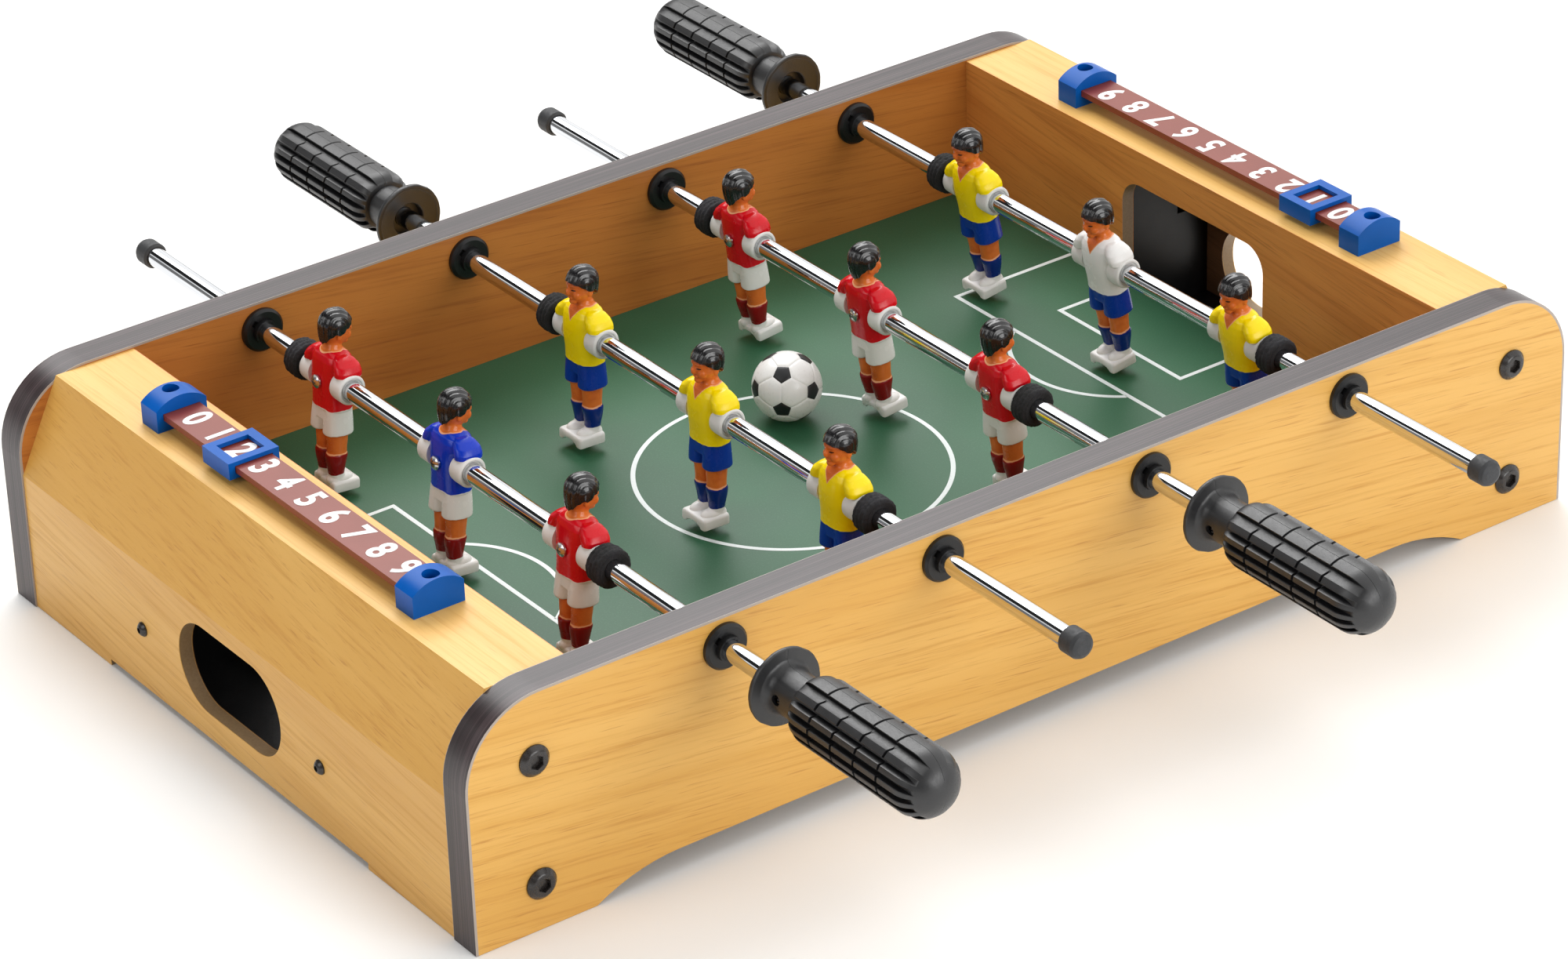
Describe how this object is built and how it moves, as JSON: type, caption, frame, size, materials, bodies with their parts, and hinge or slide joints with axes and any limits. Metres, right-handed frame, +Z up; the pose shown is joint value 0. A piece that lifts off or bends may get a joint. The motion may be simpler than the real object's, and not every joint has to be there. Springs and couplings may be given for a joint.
{
  "type": "tabletop foosball",
  "caption": "Tabletop football game: wooden cabinet with goal boxes, sliding and turning rods of painted figures, score counters and ball.",
  "frame": {"origin": "on the surface the table stands on, under the middle of the cabinet", "axes": "+X along the cabinet towards the right goal, +Y across it along the rods towards the far side panel, +Z up"},
  "size_m": [0.5126, 0.572, 0.1141],
  "materials": {
    "oak_laminate": "satin printed wood grain on board",
    "dark_banding": "dark streaked edge banding",
    "green_board": "matt green board with white pitch lines",
    "pine": "plain planed wood",
    "black_plastic": "matt moulded",
    "black_grip": "satin moulded grip",
    "black_rubber": "matt",
    "brown_plastic": "satin with white digits",
    "blue_plastic": "gloss",
    "black_steel": "black oxide",
    "bright_steel": "bright",
    "chrome": "polished",
    "red_figure": "painted",
    "yellow_figure": "painted",
    "blue_figure": "painted",
    "white_figure": "painted",
    "white_ball": "white and black panels"
  },
  "bodies": {
    "cabinet": {"side_panel_near": "oak_laminate", "side_panel_far": "oak_laminate", "edge_band_near": "dark_banding", "edge_band_far": "dark_banding", "top_board_left": "oak_laminate", "top_board_right": "oak_laminate", "slope_board_left": "oak_laminate", "slope_board_right": "oak_laminate", "end_board_left": "oak_laminate", "end_board_right": "oak_laminate", "goal_wall_left": "oak_laminate", "goal_wall_right": "oak_laminate", "goal_tray_left": "black_plastic", "goal_tray_right": "black_plastic", "playfield": "green_board", "bushing_sleeves_near": "black_plastic", "bushing_sleeves_far": "black_plastic", "bushing_rings": "black_plastic", "score_bar_left": "brown_plastic", "score_bar_right": "brown_plastic", "score_caps_left": "blue_plastic", "score_caps_right": "blue_plastic", "wood_screws": "black_steel", "cabinet_bolts": "black_steel", "corner_blocks": "pine"},
    "marker_left": {"score_marker_left": "blue_plastic"},
    "marker_right": {"score_marker_right": "blue_plastic"},
    "bumpers_1": {"bumpers_1": "black_rubber"},
    "bumpers_2": {"bumpers_2": "black_rubber"},
    "bumpers_3": {"bumpers_3": "black_rubber"},
    "bumpers_4": {"bumpers_4": "black_rubber"},
    "rod_1": {"rod_1": "chrome", "handle_1": "black_grip", "end_cap_1": "black_rubber", "rod_screws_1": "bright_steel", "figure_1_near": "red_figure", "figure_1_middle": "blue_figure", "figure_1_far": "red_figure"},
    "rod_2": {"rod_2": "chrome", "handle_2": "black_grip", "end_cap_2": "black_rubber", "rod_screws_2": "bright_steel", "figure_2_near": "yellow_figure", "figure_2_middle": "yellow_figure", "figure_2_far": "yellow_figure"},
    "rod_3": {"rod_3": "chrome", "handle_3": "black_grip", "end_cap_3": "black_rubber", "rod_screws_3": "bright_steel", "figure_3_near": "red_figure", "figure_3_middle": "red_figure", "figure_3_far": "red_figure"},
    "rod_4": {"rod_4": "chrome", "handle_4": "black_grip", "end_cap_4": "black_rubber", "rod_screws_4": "bright_steel", "figure_4_near": "yellow_figure", "figure_4_middle": "white_figure", "figure_4_far": "yellow_figure"},
    "ball": {"ball": "white_ball"}
  },
  "joints": [
    {"name": "rod_1_slide", "type": "slide", "parent": "cabinet", "child": "bumpers_1", "axis": [0, 1, 0], "range_m": [-0.048, 0.023]},
    {"name": "rod_1_turn", "type": "hinge", "parent": "bumpers_1", "child": "rod_1", "pos_m": [-0.1455, 0, 0.0846], "axis": [0, 1, 0], "continuous": true},
    {"name": "rod_2_slide", "type": "slide", "parent": "cabinet", "child": "bumpers_2", "axis": [0, 1, 0], "range_m": [-0.017, 0.054]},
    {"name": "rod_2_turn", "type": "hinge", "parent": "bumpers_2", "child": "rod_2", "pos_m": [-0.0493, 0, 0.0846], "axis": [0, 1, 0], "continuous": true},
    {"name": "rod_3_slide", "type": "slide", "parent": "cabinet", "child": "bumpers_3", "axis": [0, 1, 0], "range_m": [-0.046, 0.025]},
    {"name": "rod_3_turn", "type": "hinge", "parent": "bumpers_3", "child": "rod_3", "pos_m": [0.0469, 0, 0.0846], "axis": [0, 1, 0], "continuous": true},
    {"name": "rod_4_slide", "type": "slide", "parent": "cabinet", "child": "bumpers_4", "axis": [0, 1, 0], "range_m": [-0.018, 0.053]},
    {"name": "rod_4_turn", "type": "hinge", "parent": "bumpers_4", "child": "rod_4", "pos_m": [0.1431, 0, 0.0846], "axis": [0, 1, 0], "continuous": true},
    {"name": "left_score_slide", "type": "slide", "parent": "cabinet", "child": "marker_left", "axis": [0, 1, 0], "range_m": [-0.1106, 0.0316]},
    {"name": "right_score_slide", "type": "slide", "parent": "cabinet", "child": "marker_right", "axis": [0, 1, 0], "range_m": [-0.0158, 0.1264]},
    {"name": "ball_lift", "type": "slide", "parent": "cabinet", "child": "ball", "axis": [0, 0, 1], "range_m": [0, 0.045]}
  ]
}
